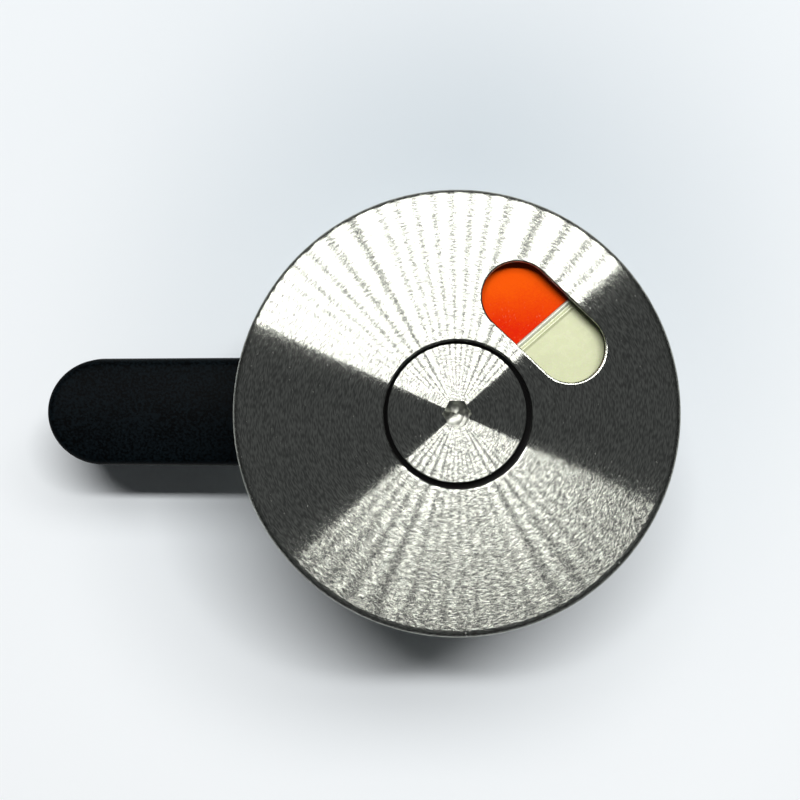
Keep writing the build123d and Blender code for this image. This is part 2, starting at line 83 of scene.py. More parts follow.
class Wire:
    # one output socket of a node tree: arithmetic on it adds Math nodes
    def __init__(self, tree, socket=None):
        self.tree = tree
        self.socket = socket

    def node(self, kind, settings=None, sockets=None, output=0):
        made = self.tree.nodes.new(kind)
        for name, value in (settings or {}).items():
            if name == "stops":
                setStops(made.color_ramp.elements, value)
            else:
                setattr(made, name, value)
        for name, value in (sockets or {}).items():
            if isinstance(value, Wire):
                self.tree.links.new(value.socket, made.inputs[name])
            else:
                made.inputs[name].default_value = value
        return Wire(self.tree, made.outputs[output])

    def math(self, operation, *values):
        return self.node("ShaderNodeMath", {"operation": operation}, dict(enumerate(values)))

    def __add__(self, other):
        return self.math("ADD", self, other)

    def __radd__(self, other):
        return self.math("ADD", other, self)

    def __sub__(self, other):
        return self.math("SUBTRACT", self, other)

    def __rsub__(self, other):
        return self.math("SUBTRACT", other, self)

    def __mul__(self, other):
        return self.math("MULTIPLY", self, other)

    def __rmul__(self, other):
        return self.math("MULTIPLY", other, self)

    def __truediv__(self, other):
        return self.math("DIVIDE", self, other)

    def __pow__(self, other):
        return self.math("POWER", self, other)

    def vector(self, x, y, z):
        return self.node("ShaderNodeCombineXYZ", None, {"X": x, "Y": y, "Z": z})

    def vectorMath(self, operation, first, second=(0.0, 0.0, 0.0), scale=1.0):
        sockets = {0: first, 1: second, 3: scale}  # input 2 is a third vector, input 3 the scale
        return self.node("ShaderNodeVectorMath", {"operation": operation}, sockets)

    def noise(self, place, detail, roughness=0.5):
        sockets = {"Vector": place, "Scale": 1.0, "Detail": detail, "Roughness": roughness}
        return self.node("ShaderNodeTexNoise", None, sockets)

    def mask(self, value, low, high):
        # 0 at low and 1 at high, whichever of them is the larger
        sockets = {"Value": value, "From Min": low, "From Max": high}
        return self.node("ShaderNodeMapRange", {"interpolation_type": "SMOOTHSTEP"}, sockets)

    def blend(self, factor, first, second):
        # inputs 6 and 7 and output 2 are the colours of a Mix node
        sockets = {0: factor, 6: first, 7: second}
        return self.node("ShaderNodeMix", {"data_type": "RGBA"}, sockets, 2)

    def bump(self, height, depth):
        sockets = {"Height": height, "Distance": depth * mm, "Strength": 1.0}
        return self.node("ShaderNodeBump", None, sockets)

    def lean(self, across, along):
        # the surface's normal, leaning across and along the turning marks by two slopes
        around = self.node("ShaderNodeTangent", {"direction_type": "RADIAL", "axis": "Z"})
        normal = self.node("ShaderNodeNewGeometry", None, None, "Normal")
        sideways = self.vectorMath("CROSS_PRODUCT", around, normal)
        leaning = self.vectorMath("ADD", normal, self.vectorMath("SCALE", sideways, scale=across))
        leaning = self.vectorMath("ADD", leaning, self.vectorMath("SCALE", around, scale=along))
        return self.vectorMath("NORMALIZE", leaning)

    def spot(self):
        # the piece's own coordinates in millimetres
        place = self.node("ShaderNodeTexCoord", None, None, "Object")
        parts = self.node("ShaderNodeSeparateXYZ", None, {0: place})
        outputs = parts.socket.node.outputs
        return [Wire(self.tree, outputs[axis]) * (1 / mm) for axis in ("X", "Y", "Z")]


def setStops(elements, stops):
    while len(elements) < len(stops):
        elements.new(1.0)
    for element, (position, colour) in zip(elements, stops):
        element.position = position
        element.color = colour


def newFinish(name):
    material = bpy.data.materials.new(name)
    material.use_nodes = True
    shader = material.node_tree.nodes["Principled BSDF"]
    return material, shader, Wire(material.node_tree)


def setSockets(shader, values):
    for name, value in values.items():
        if isinstance(value, Wire):
            value.tree.links.new(value.socket, shader.inputs[name])
        else:
            shader.inputs[name].default_value = value


def rgb(red, green, blue):
    return (red, green, blue, 1.0)


def darker(colour, share):
    return [share * part for part in colour[:3]] + [1.0]


# Turned steel of the two roses, the disc and the knob

turnedLook = {
    "colour": rgb(0.83, 0.85, 0.77),
    "darkColour": rgb(0.41, 0.42, 0.385),
    "roughness": 0.105,
    "anisotropy": 1.0,
    "anisotropyTurn": 0.25,
    "slant": 1.7,  # how fast the marks change with height, against their change with radius
    "groovePitch": 0.05,
    "grooveSlope": 0.2,
    "grooveDrift": {"width": 3.0, "length": 9.0, "shift": 0.0, "turns": 12.0},
    "dashes": {"width": 0.13, "length": 0.45, "shift": 3.0, "share": 0.8},
    "wobble": {"width": 0.12, "length": 0.3, "shift": 6.0, "slope": 0.006},
    "grain": {"width": 0.13, "length": 0.6, "shift": 9.0, "contrast": 2.5},
    "scratches": {"density": (3.1, 1.3, 2.0), "shift": 7.0, "from": 0.735, "to": 0.78, "roughness": 0.3},
}

# painted shade: the walls of the rose's hole and window, and the disc's side and flange in their gap, are
# painted dark and dull
paintedShadeLook = {
    "edge": 0.3,  # how wide its border is, by radius
    "depth": 0.1,  # and by height
    "colour": rgb(0.008, 0.008, 0.008),
    "roughness": 0.5,
}

roseLook = {
    **turnedLook,
    # painted shade on the walls of the hole and the window
    "paintedShade": {**paintedShadeLook, "below": 7.84, "from": 0.0, "to": 24.0},
}

discLook = {
    **turnedLook,
    "roughness": 0.095,
    # painted shade on the disc's side and flange down in the gap
    "paintedShade": {**paintedShadeLook, "below": 7.2, "from": 7.9, "to": 30.0},
    "socket": {"radius": 1.78, "below": 7.96, "edge": 0.05, "depth": 0.02, "roughness": 0.2},
}

knobLook = {
    **turnedLook,
    "roughness": 0.3,
}


def turnedFinish(name, look):
    # concentric turning marks: the highlight spreads across them and stays narrow along them
    material, shader, wire = newFinish(name)
    x, y, z = wire.spot()
    radius = (x * x + y * y) ** 0.5
    across = radius - z * look["slant"]

    def marks(kind):
        # noise drawn out along the marks, from -0.5 to 0.5
        size = look[kind]
        along = x / size["length"] + size["shift"]
        place = wire.vector(along, y / size["length"], across / size["width"])
        return wire.noise(place, detail=0.0) - 0.5

    # each groove is a shallow scallop, so its slope runs evenly from one side to the other
    turn = across / look["groovePitch"] + marks("grooveDrift") * look["grooveDrift"]["turns"]
    scallop = (wire.math("FRACT", turn) - 0.5) * 2.0 * look["grooveSlope"]
    groove = scallop * (marks("dashes") * look["dashes"]["share"] + 1.0)
    wobble = marks("wobble") * look["wobble"]["slope"]
    grain = marks("grain") * look["grain"]["contrast"] + 0.5
    tone = wire.blend(grain, look["darkColour"], look["colour"])
    metal = 1.0

    scratches = look["scratches"]
    denseX, denseY, denseZ = scratches["density"]
    place = wire.vector(x * denseX, y * denseY, z * denseZ + scratches["shift"])
    scratch = wire.mask(wire.noise(place, detail=1.0), scratches["from"], scratches["to"])
    roughness = scratch * scratches["roughness"] + look["roughness"]

    if "paintedShade" in look:
        # painted shade: what lies deep in a gap or on a cut wall is painted dull and dark, where shade falls
        paintedShade = look["paintedShade"]
        inside = wire.mask(radius, paintedShade["from"] - paintedShade["edge"], paintedShade["from"])
        inside = inside * wire.mask(radius, paintedShade["to"], paintedShade["to"] - paintedShade["edge"])
        shaded = inside * wire.mask(z, paintedShade["below"], paintedShade["below"] - paintedShade["depth"])
        tone = wire.blend(shaded, tone, paintedShade["colour"])
        metal = 1 - shaded
        roughness = roughness + shaded * paintedShade["roughness"]
    if "socket" in look:
        # the key socket is broached and drilled, so it scatters the light
        socket = look["socket"]
        inside = wire.mask(radius, socket["radius"], socket["radius"] - socket["edge"])
        rough = inside * wire.mask(z, socket["below"], socket["below"] - socket["depth"])
        roughness = roughness + rough * socket["roughness"]
    setSockets(shader, {
        "Base Color": tone,
        "Metallic": metal,
        "Roughness": roughness,
        "Anisotropic": look["anisotropy"],
        "Anisotropic Rotation": look["anisotropyTurn"],
        "Normal": wire.lean(groove, wobble),
    })
    return material


roseSteel = turnedFinish("roseSteel", roseLook)
discSteel = turnedFinish("discSteel", discLook)
knobSteel = turnedFinish("knobSteel", knobLook)


# Plain steel of the core, the spindle, the posts and the fasteners

steelLook = {
    "roughnessGrain": 0.15,
    "stainSize": 6.0,
    "stainShade": 0.85,
}

coreLook = {
    **steelLook,
    "colour": rgb(0.6, 0.6, 0.59),
    "roughness": 0.28,
    "along": 3.0,
    "across": 0.12,
    "depth": 0.008,
}

platedLook = {
    **steelLook,
    "colour": rgb(0.7, 0.71, 0.73),
    "roughness": 0.2,
    "along": 0.5,
    "across": 0.5,
    "depth": 0.01,
}

darkLook = {
    **steelLook,
    "colour": rgb(0.16, 0.16, 0.17),
    "roughness": 0.35,
    "along": 0.4,
    "across": 0.4,
    "depth": 0.008,
}


def steelFinish(name, look):
    # rolled or drawn steel, with its grain along X where along is more than across
    material, shader, wire = newFinish(name)
    x, y, z = wire.spot()
    place = wire.vector(x / look["along"], y / look["across"], z / look["across"])
    lines = wire.noise(place, detail=3.0)
    size = look["stainSize"]
    stain = wire.noise(wire.vector(x / size, y / size, z / size), detail=2.0)
    setSockets(shader, {
        "Base Color": wire.blend(stain, darker(look["colour"], look["stainShade"]), look["colour"]),
        "Metallic": 1.0,
        "Roughness": look["roughness"] + lines * look["roughnessGrain"],
        "Normal": wire.bump(lines, look["depth"]),
    })
    return material


coreSteel = steelFinish("coreSteel", coreLook)
platedSteel = steelFinish("platedSteel", platedLook)
darkSteel = steelFinish("darkSteel", darkLook)


# Die casting of the bases, the hub and the carrier

castLook = {
    "colour": rgb(0.58, 0.58, 0.59),
    "darkColour": rgb(0.42, 0.42, 0.43),
    "metallic": 0.85,
    "roughness": 0.42,
    "roughnessGrain": 0.2,
    "grain": 4.0,
    "grainDepth": 0.02,
    "flowAlong": 5.0,
    "flowAcross": 3.0,
}


def castFinish(name, look):
    # grey die casting, with a fine skin and slight flow marks
    material, shader, wire = newFinish(name)
    x, y, z = wire.spot()
    dense = look["grain"]
    skin = wire.noise(wire.vector(x * dense, y * dense, z * dense), detail=4.0, roughness=0.6)
    place = wire.vector(x / look["flowAlong"], y / look["flowAcross"], z / look["flowAcross"])
    flow = wire.noise(place, detail=3.0)
    setSockets(shader, {
        "Base Color": wire.blend(flow, look["darkColour"], look["colour"]),
        "Metallic": look["metallic"],
        "Roughness": look["roughness"] + skin * look["roughnessGrain"],
        "Normal": wire.bump(skin, look["grainDepth"]),
    })
    return material


castMetal = castFinish("castMetal", castLook)


# Moulded plastic of the arm, the dial and the bushes

mouldedLook = {
    "shadeSize": 4.0,
    "glowReach": (0.6, 0.8, 0.4),
    "glowDepth": 1.0,
}

sleeveLook = {
    **mouldedLook,
    "colour": rgb(0.003, 0.0054, 0.0072),
    "grain": 2.8,
    "grainDepth": 0.03,
    "roughness": 0.45,
    "roughnessGrain": 0.15,
    "specular": 0.025,
    "shade": 0.15,
    "speckle": 5.0,
    "glow": 0.0,
}

dialLook = {
    **mouldedLook,
    "colour": rgb(0.67, 0.71, 0.44),
    "grain": 0.8,
    "grainDepth": 0.01,
    "roughness": 0.22,
    "roughnessGrain": 0.1,
    "specular": 0.5,
    "shade": 0.9,
    "speckle": 0.5,
    "glow": 0.25,
}

beadLook = {
    **dialLook,
    "roughness": 0.2,
    "specular": 1.0,
    "glow": 0.1,
}

ridgeLook = {
    **beadLook,
    "colour": rgb(0.74, 0.78, 0.64),
}

bushLook = {
    **mouldedLook,
    "colour": rgb(0.8, 0.79, 0.74),
    "grain": 5.0,
    "grainDepth": 0.01,
    "roughness": 0.4,
    "roughnessGrain": 0.15,
    "specular": 0.4,
    "shade": 0.85,
    "speckle": 0.0,
    "glow": 0.2,
}


def mouldedFinish(name, look):
    # plain moulded plastic with a soft grain
    material, shader, wire = newFinish(name)
    x, y, z = wire.spot()
    dense = look["grain"]
    grain = wire.noise(wire.vector(x * dense, y * dense, z * dense), detail=3.0, roughness=0.6)
    size = look["shadeSize"]
    shade = wire.noise(wire.vector(x / size, y / size, z / size), detail=2.0)
    paleness = shade + (grain - 0.5) * look["speckle"]
    setSockets(shader, {
        "Base Color": wire.blend(paleness, darker(look["colour"], look["shade"]), look["colour"]),
        "Roughness": look["roughness"] + grain * look["roughnessGrain"],
        "Specular IOR Level": look["specular"],
        "Subsurface Weight": look["glow"],
        "Subsurface Radius": look["glowReach"],
        "Subsurface Scale": look["glowDepth"] * mm,
        "Normal": wire.bump(grain, look["grainDepth"]),
    })
    return material


sleeveNylon = mouldedFinish("sleeveNylon", sleeveLook)
dialPlastic = mouldedFinish("dialPlastic", dialLook)
ridgePlastic = mouldedFinish("ridgePlastic", ridgeLook)
beadPlastic = mouldedFinish("beadPlastic", beadLook)
bushNylon = mouldedFinish("bushNylon", bushLook)


# Orange-red film of the coloured plate

filmLook = {
    "lowColour": rgb(0.75, 0.019, 0.0),
    "highColour": rgb(0.9, 0.096, 0.0),
    "rise": {"from": 9.5, "to": 16.5},
    "grain": 5.0,
    "grainShare": 0.8,
    "grainDepth": 0.03,
    "patches": {"size": 3.5, "shift": 4.0, "share": 0.5},
    "speckColour": rgb(1.0, 0.25, 0.12),
    "specks": {"density": (6.0, 3.0, 3.0), "shift": 5.0, "from": 0.66, "to": 0.76, "share": 0.35},
    "speckFall": {"from": 15.0, "to": 11.0},
    "roughness": 0.38,
    "roughnessGrain": 0.2,
    "specular": 0.02,
}


def filmFinish(name, look):
    # a crepe-like grain, paler upwards, with small bright specks in its lower part
    material, shader, wire = newFinish(name)
    x, y, z = wire.spot()
    dense = look["grain"]
    grain = wire.noise(wire.vector(x * dense, y * dense, z * dense), detail=3.0, roughness=0.65)
    patches = look["patches"]
    place = wire.vector(x / patches["size"] + patches["shift"], y / patches["size"], z)
    patch = wire.noise(place, detail=1.0) - 0.5
    paleness = wire.mask(y, look["rise"]["from"], look["rise"]["to"]) + (grain - 0.5) * look["grainShare"]
    paleness = paleness + patch * patches["share"]
    base = wire.blend(paleness, look["lowColour"], look["highColour"])
    specks = look["specks"]
    denseX, denseY, denseZ = specks["density"]
    place = wire.vector(x * denseX, y * denseY, z * denseZ + specks["shift"])
    speck = wire.mask(wire.noise(place, detail=1.0), specks["from"], specks["to"])
    speck = speck * wire.mask(y, look["speckFall"]["from"], look["speckFall"]["to"])
    setSockets(shader, {
        "Base Color": wire.blend(speck * specks["share"], base, look["speckColour"]),
        "Roughness": look["roughness"] + grain * look["roughnessGrain"],
        "Specular IOR Level": look["specular"],
        "Normal": wire.bump(grain, look["grainDepth"]),
    })
    return material


orangeFilm = filmFinish("orangeRedFilm", filmLook)
print("finishes made:", len(bpy.data.materials))


# The pieces that keep their CAD shape get a finish each

cadFinishes = {
    "outer_base": castMetal,
    "inner_base": castMetal,
    "lever_hub": castMetal,
    "cap_carrier": castMetal,
    "outer_bush": bushNylon,
    "inner_bush": bushNylon,
    "inner_rose": knobSteel,
    "turn_knob": knobSteel,
    "lever_core": coreSteel,
    "square_spindle": platedSteel,
    "fixing_posts": platedSteel,
    "fixing_screws": platedSteel,
    "carrier_screws": platedSteel,
    "hub_screw": platedSteel,
    "hub_washer": platedSteel,
    "grub_screws": darkSteel,
    "spring_washer": darkSteel,
    "retaining_ring": darkSteel,
    "spindle_pin": darkSteel,
    "stop_pin": darkSteel,
}
for node, finish in cadFinishes.items():
    cad[node].data.materials.clear()
    cad[node].data.materials.append(finish)
print("CAD pieces finished:", len(cadFinishes))


# Mesh building

def ring(builder, radius, height, angles, centre=(0.0, 0.0)):
    # a closed loop of corners, whose radius may be a function of the angle
    corners = []
    for angle in angles:
        reach = radius(angle) if callable(radius) else radius
        x = centre[0] + reach * math.cos(angle)
        y = centre[1] + reach * math.sin(angle)
        corners.append(builder.verts.new((x * mm, y * mm, height * mm)))
    return corners


def loopFrom(builder, points, height):
    return [builder.verts.new((x * mm, y * mm, height * mm)) for x, y in points]


def joinLoops(builder, first, second):
    count = len(first)
    for index in range(count):
        after = (index + 1) % count
        builder.faces.new((first[index], first[after], second[after], second[index]))


def joinAll(builder, loops):
    for first, second in zip(loops, loops[1:]):
        joinLoops(builder, first, second)


def closeToPoint(builder, loop, height):
    tip = builder.verts.new((0.0, 0.0, height * mm))
    for index in range(len(loop)):
        builder.faces.new((loop[index], loop[(index + 1) % len(loop)], tip))


def fillFlat(builder, loops):
    # one flat surface between an outer loop and the loops of its holes
    edges = []
    for loop in loops:
        for index in range(len(loop)):
            edges.append(builder.edges.get((loop[index], loop[(index + 1) % len(loop)])))
    bmesh.ops.triangle_fill(builder, edges=edges, use_beauty=True, use_dissolve=False)


def evenAngles(count):
    return [2 * math.pi * step / count for step in range(count)]


def capsulePoints(centre, direction, halfStraight, radius, count):
    # a slot's outline with its long side along a direction, as two half circles
    points = []
    for end in (1, -1):
        for step in range(count + 1):
            turn = direction - end * math.pi / 2 + math.pi * step / count
            points.append((
                centre[0] + end * halfStraight * math.cos(direction) + radius * math.cos(turn),
                centre[1] + end * halfStraight * math.sin(direction) + radius * math.sin(turn),
            ))
    return points


def makeMesh(name, builder, material):
    mesh = bpy.data.meshes.new(name)
    builder.to_mesh(mesh)
    builder.free()
    mesh.materials.append(material)
    return mesh


def addObject(name, data):
    made = bpy.data.objects.new(name, data)
    bpy.context.scene.collection.objects.link(made)
    return made


def finishPiece(name, builder, material, body, slot, *replaced, sharp=28.0):
    # edges that bend by more than sharp, in degrees, stay crisp
    bmesh.ops.recalc_face_normals(builder, faces=builder.faces)
    mesh = makeMesh(name, builder, material)
    mesh.shade_smooth()
    mesh.set_sharp_from_angle(angle=math.radians(sharp))
    piece = addObject(name, mesh)
    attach(piece, body)
    if replaced:
        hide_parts(*replaced)
    print("piece built:", name, len(mesh.polygons), "faces")


# Outer rose

rose = {
    "radius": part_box("outer_rose")[1].x / mm,
    "top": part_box("outer_rose")[1].z / mm,
    "wall": 1.2,
    "face": 1.5,
    "shoulder": 0.8,
    "shoulderTilt": math.radians(38.0),
    "shoulderSteps": 10,
    "corner": 0.05,
    "foot": 0.15,
    "support": 0.05,  # a narrow band round each edge of the face, which keeps its shading flat
    "steps": 288,
    "holeRadius": 8.95,
    "holeCentre": (0.13, -0.18),
    "holeSteps": 240,
    "lipDepth": 0.15,
    "lipBend": 0.05,
    "lipReach": 0.22,
    "windowAzimuth": math.radians(46.4),
    "windowDistance": 15.2,
    "windowLength": 17.3,
    "windowWidth": 8.4,
    "windowSteps": 48,
    "dentCount": 3,
    "dentAzimuth": math.radians(16.4),
    "dentHeight": 2.6,
    "dentBall": 1.15,
    "dentDepth": 0.5,
    "dentSteps": 16,
    "dentStep": 0.16,  # degrees
    "dentRows": 8,
    "dentRowStep": 0.15,
}


def dentCentres():
    count = rose["dentCount"]
    return [rose["dentAzimuth"] + 2 * math.pi * dent / count for dent in range(count)]


def roseAngles():
    # even steps round the rose, with closer ones where a dent is pressed in
    angles = set(evenAngles(rose["steps"]))
    for centre in dentCentres():
        for step in range(-rose["dentSteps"], rose["dentSteps"] + 1):
            angles.add(centre + math.radians(step * rose["dentStep"]))
    return sorted(angles)


def skirtRadius(base, height):
    # radius of the skirt at each angle, pushed in at the dents
    ball = rose["dentBall"]
    proud = ball - rose["dentDepth"]

    def radiusAt(angle):
        deepest = 0.0
        for centre in dentCentres():
            aside = base * math.sin(min(abs(angle - centre), math.pi / 2))
            away = aside ** 2 + (height - rose["dentHeight"]) ** 2
            if away < ball ** 2:
                deepest = max(deepest, math.sqrt(ball ** 2 - away) - proud)
        return base - deepest

    return radiusAt


def roseOutline():
    # from under the face down the skirt's inside, round its foot and up its outside to the face
    radius = rose["radius"]
    top = rose["top"]
    foot = rose["foot"]
    inner = radius - rose["wall"]
    rows = range(-rose["dentRows"], rose["dentRows"] + 1)
    heights = [rose["dentHeight"] + row * rose["dentRowStep"] for row in rows]
    outline = [(inner, top - rose["face"])]
    outline += [(skirtRadius(inner, height), height) for height in reversed(heights)]
    outline += [(inner, foot), (inner + foot, 0.0), (radius - foot, 0.0), (radius, foot)]
    outline += [(skirtRadius(radius, height), height) for height in heights]
    # the shoulder falls away from the face ever more steeply, down to a crisp corner with the skirt
    bend = rose["shoulder"] / math.sin(rose["shoulderTilt"])
    start = radius - rose["corner"] - rose["shoulder"]
    drop = bend * (1 - math.cos(rose["shoulderTilt"]))
    outline.append((radius, top - drop - rose["corner"]))
    for step in range(rose["shoulderSteps"] + 1):
        tilt = rose["shoulderTilt"] * (1 - step / rose["shoulderSteps"])
        outline.append((start + bend * math.sin(tilt), top - bend * (1 - math.cos(tilt))))
    outline.append((start - rose["support"], top))
    return outline


def buildRose():
    builder = bmesh.new()
    angles = roseAngles()
    body = [ring(builder, reach, height, angles) for reach, height in roseOutline()]
    joinAll(builder, body)

    # the hole and the window go up to a shallow rounded lip
    top = rose["top"]
    lip = (
        (0.0, top - rose["face"]),
        (0.0, top - rose["lipDepth"]),
        (rose["lipBend"], top - rose["lipDepth"] / 2),
        (rose["lipReach"], top),
        (rose["lipReach"] + rose["support"], top),
    )
    azimuth = rose["windowAzimuth"]
    direction = azimuth + math.pi / 2
    centre = (rose["windowDistance"] * math.cos(azimuth), rose["windowDistance"] * math.sin(azimuth))
    halfStraight = (rose["windowLength"] - rose["windowWidth"]) / 2
    holeAngles = evenAngles(rose["holeSteps"])
    hole = []
    window = []
    for grow, height in lip:
        hole.append(ring(builder, rose["holeRadius"] + grow, height, holeAngles, rose["holeCentre"]))
        radius = rose["windowWidth"] / 2 + grow
        points = capsulePoints(centre, direction, halfStraight, radius, rose["windowSteps"])
        window.append(loopFrom(builder, points, height))
    joinAll(builder, hole)
    joinAll(builder, window)
    fillFlat(builder, [body[0], hole[0], window[0]])
    fillFlat(builder, [body[-1], hole[-1], window[-1]])
    finishPiece("turnedRose", builder, roseSteel, "fixed_set", "satin_stainless", "outer_rose")


buildRose()


# Release disc, with its key socket, flange and stem

disc = {
    "radius": 8.4,
    "edge": 0.12,
    "edgeBulge": 0.3,  # how far in the middle of the rounded edge lies, as a share of the edge
    "support": 0.04,
    "top": rose["top"],
    "flangeRadius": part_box("release_disc")[1].x / mm,
    "flangeTop": 6.1,
    "flangeUnder": 5.3,
    "stemRadius": 5.0,
    "stemEnd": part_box("release_disc")[0].z / mm,
    "grooveRadius": 4.4,
    "grooveTop": -2.5,
    "grooveUnder": -3.35,
    "keyHalf": 1.5,
    "keyDepth": 2.4,
    "keyRim": 0.05,
    "keyLand": 1.9,
    "drillRadius": 1.45,
    "drillDepth": 0.87,
    "squareHalf": 2.55,
    "squareTop": 3.35,
    "steps": 240,
}


def hexRadius(angle):
    # corners lie on the X axis, so that two flats lie across Y
    lean = (angle + math.pi / 6) % (math.pi / 3) - math.pi / 6
    return disc["keyHalf"] / math.cos(math.pi / 6 - abs(lean))


def hexRimRadius(angle):
    return hexRadius(angle) + disc["keyRim"]


def squareRadius(angle):
    return disc["squareHalf"] / max(abs(math.cos(angle)), abs(math.sin(angle)))


def buildDisc():
    builder = bmesh.new()
    angles = evenAngles(disc["steps"])
    top = disc["top"]
    floor = top - disc["keyDepth"]
    edge = disc["edge"]
    bulge = edge * disc["edgeBulge"]
    outline = [
        (disc["drillRadius"], floor),
        (hexRadius, floor),
        (hexRadius, top - disc["keyRim"]),
        (hexRimRadius, top),
        (disc["keyLand"], top),
        (disc["radius"] - edge - disc["support"], top),
        (disc["radius"] - edge, top),
        (disc["radius"] - bulge, top - bulge),
        (disc["radius"], top - edge),
        (disc["radius"], disc["flangeTop"]),
        (disc["flangeRadius"], disc["flangeTop"]),
        (disc["flangeRadius"], disc["flangeUnder"]),
        (disc["stemRadius"], disc["flangeUnder"]),
        (disc["stemRadius"], disc["grooveTop"]),
        (disc["grooveRadius"], disc["grooveTop"]),
        (disc["grooveRadius"], disc["grooveUnder"]),
        (disc["stemRadius"], disc["grooveUnder"]),
        (disc["stemRadius"], disc["stemEnd"]),
        (squareRadius, disc["stemEnd"]),
        (squareRadius, disc["squareTop"]),
    ]
    loops = [ring(builder, reach, height, angles) for reach, height in outline]
    joinAll(builder, loops)
    closeToPoint(builder, loops[0], floor - disc["drillDepth"])
    closeToPoint(builder, loops[-1], disc["squareTop"])
    finishPiece("turnedDisc", builder, discSteel, "turning_set", "satin_stainless", "release_disc")


buildDisc()


# Indicator dial, with the ridge and the low bead beside its colour line, and the coloured plate

dial = {
    "radius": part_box("indicator_dial")[1].x / mm,
    "bottom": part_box("indicator_dial")[0].z / mm,
    "thickness": 1.6,
    "hole": 5.1,
    "edge": 0.2,
    "steps": 180,
    "lineAzimuth": math.radians(41.3),
    "lineOffset": 1.49,
    "endAzimuth": math.radians(136.0),
    "inner": 9.2,
    "outer": 20.6,
    "arcSteps": 72,
    "plateHeight": 0.2,
    "plateBevel": 0.05,
    "ribInset": 0.3,
    "ribRoot": -0.3,
    "ribSharp": 50.0,
    # sections of the two ribs: distance from the colour line, and height over the dial
    "ridge": (
        (0.02, 0.0),
        (0.04, 0.16),
        (0.1, 0.28),
        (0.19, 0.36),
        (0.3, 0.38),
        (0.41, 0.33),
        (0.5, 0.2),
        (0.58, 0.06),
        (0.64, -0.02),
    ),
    "bead": (
        (0.66, 0.005),
        (0.8, 0.03),
        (0.9, 0.1),
        (1.0, 0.17),
        (1.1, 0.18),
        (1.2, 0.12),
        (1.3, 0.04),
        (1.42, 0.004),
    ),
}
dialTop = dial["bottom"] + dial["thickness"]


def alongLine(reach, offset, height):
    # a point by its reach along the colour line and its offset from the axis to the orange side
    turn = dial["lineAzimuth"]
    x = reach * math.cos(turn) - offset * math.sin(turn)
    y = reach * math.sin(turn) + offset * math.cos(turn)
    return (x * mm, y * mm, height * mm)


def buildDial():
    builder = bmesh.new()
    angles = evenAngles(dial["steps"])
    outline = (
        (dial["hole"], dial["bottom"]),
        (dial["radius"], dial["bottom"]),
        (dial["radius"], dialTop - dial["edge"]),
        (dial["radius"] - dial["edge"], dialTop),
        (dial["hole"], dialTop),
    )
    loops = [ring(builder, reach, height, angles) for reach, height in outline]
    joinAll(builder, loops + loops[:1])
    finishPiece("signalDial", builder, dialPlastic, "turning_set", "cream_plastic", "indicator_dial")


def buildRib(name, profile, finish):
    # a straight rib on the line's cream side, with its root sunk into the dial
    builder = bmesh.new()
    root = dial["ribRoot"]
    section = [(profile[0][0], root), *profile, (profile[-1][0], root)]
    ends = []
    for reach in (dial["inner"] + dial["ribInset"], dial["outer"] - dial["ribInset"]):
        end = []
        for across, rise in section:
            point = alongLine(reach, dial["lineOffset"] - across, dialTop + rise)
            end.append(builder.verts.new(point))
        ends.append(end)
    joinLoops(builder, *ends)
    for end in ends:
        builder.faces.new(end)
    finishPiece(name, builder, finish, "turning_set", "cream_plastic", sharp=dial["ribSharp"])


def buildPlate():
    # a sector between two arcs, from the colour line to a straight radial end
    builder = bmesh.new()
    bevel = dial["plateBevel"]
    levels = ((0.0, 0.0), (0.0, dial["plateHeight"] - bevel), (bevel, dial["plateHeight"]))
    loops = []
    for inset, rise in levels:
        points = []
        for radius, forward in ((dial["outer"] - inset, True), (dial["inner"] + inset, False)):
            low = dial["lineAzimuth"] + math.asin((dial["lineOffset"] + inset) / radius)
            high = dial["endAzimuth"] - inset / radius
            for step in range(dial["arcSteps"] + 1):
                share = step / dial["arcSteps"]
                turn = low + (high - low) * (share if forward else 1 - share)
                points.append((radius * math.cos(turn), radius * math.sin(turn)))
        loops.append(loopFrom(builder, points, dialTop + rise))
    joinAll(builder, loops)
    fillFlat(builder, [loops[0]])
    fillFlat(builder, [loops[-1]])
    finishPiece("colourPlate", builder, orangeFilm, "turning_set", "orange_red_film", "red_plate")


buildDial()
buildRib("dialRidge", dial["ridge"], ridgePlastic)
buildRib("dialBead", dial["bead"], beadPlastic)
buildPlate()


# Latch arm sleeve

arm = {
    "reach": -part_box("lever_sleeve")[0].x / mm,
    "top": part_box("lever_sleeve")[1].z / mm,
    "bottom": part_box("lever_sleeve")[0].z / mm,
    "tipRadius": 7.37,
    "rootHalfWidth": 7.5,
    "rootReach": 27.0,
    "startRadius": 16.4,
    "startRounds": 12,
    "draft": math.radians(2.0),
    "edgeRound": 1.0,
    "roundSteps": 7,
    "crownRadius": 26.0,
    "seamDepth": 0.05,
    "seamHalf": 0.07,
    "insets": (1.0, 1.8, 3.0, 4.3, 5.6, 6.6),
    "tipSteps": 64,
    "sideSteps": 28,
    "weld": 1e-7,  # metres
    "sharp": 40.0,
}


